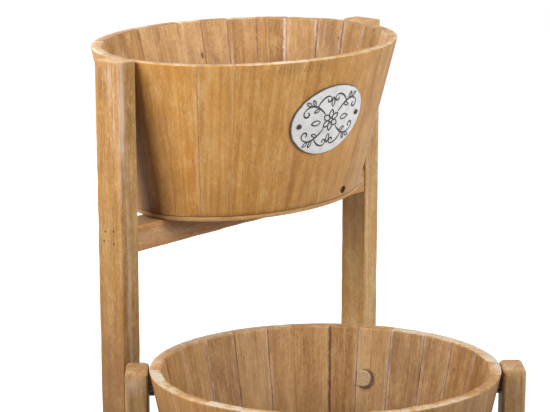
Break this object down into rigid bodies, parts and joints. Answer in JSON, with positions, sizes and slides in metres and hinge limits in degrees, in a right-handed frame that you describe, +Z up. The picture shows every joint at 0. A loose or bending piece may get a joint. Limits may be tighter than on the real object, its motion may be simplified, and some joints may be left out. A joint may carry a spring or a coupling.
{
  "type": "plant stand",
  "caption": "Folding plant stand in two tiers: two wooden post frames hinged at a corner, each carrying an oval stave tub on a cross rail between its posts.",
  "frame": {"origin": "on the floor under the middle of the stand's bounding box, as it stands opened out", "axes": "+X along the tall frame from its hinged post to its free post, +Y to the back, +Z up"},
  "size_m": [0.372, 0.415, 0.65],
  "materials": {
    "post": "worn stained pine, satin",
    "rail": "worn stained pine, satin",
    "stave": "sanded stained fir, satin, with worn seams",
    "board": "plain plywood",
    "enamel": "satin white enamel with a black line ornament",
    "black_steel": "black, semi-gloss"
  },
  "bodies": {
    "tall_frame": {"tall_post_left": "post", "tall_post_right": "post", "tall_tub_rail": "rail", "tall_stretcher": "rail", "upper_staves_01": "stave", "upper_staves_02": "stave", "upper_staves_03": "stave", "upper_staves_04": "stave", "upper_staves_05": "stave", "upper_staves_06": "stave", "upper_staves_07": "stave", "upper_staves_08": "stave", "upper_staves_09": "stave", "upper_staves_10": "stave", "upper_staves_11": "stave", "upper_staves_12": "stave", "upper_staves_13": "stave", "upper_tub_base": "board", "upper_clip_left": "black_steel", "upper_badge_screw_left": "black_steel", "upper_clip_right": "black_steel", "upper_badge_screw_right": "black_steel", "upper_badge": "enamel", "hinge_top_tall_leaf": "black_steel", "hinge_top_pin": "black_steel", "hinge_bottom_tall_leaf": "black_steel", "hinge_bottom_pin": "black_steel"},
    "low_frame": {"low_post_left": "post", "low_post_right": "post", "low_tub_rail": "rail", "low_stretcher": "rail", "lower_staves_01": "stave", "lower_staves_02": "stave", "lower_staves_03": "stave", "lower_staves_04": "stave", "lower_staves_05": "stave", "lower_staves_06": "stave", "lower_staves_07": "stave", "lower_staves_08": "stave", "lower_staves_09": "stave", "lower_staves_10": "stave", "lower_staves_11": "stave", "lower_staves_12": "stave", "lower_staves_13": "stave", "lower_tub_base": "board", "lower_clip_left": "black_steel", "lower_badge_screw_left": "black_steel", "lower_clip_right": "black_steel", "lower_badge_screw_right": "black_steel", "lower_badge": "enamel", "hinge_top_low_leaf": "black_steel", "hinge_bottom_low_leaf": "black_steel"}
  },
  "joints": [
    {"name": "fold_hinge", "type": "hinge", "parent": "tall_frame", "child": "low_frame", "pos_m": [-0.15721, 0.06657, 0.1965], "axis": [0, 0, 1], "range_deg": [-134, 46]}
  ]
}
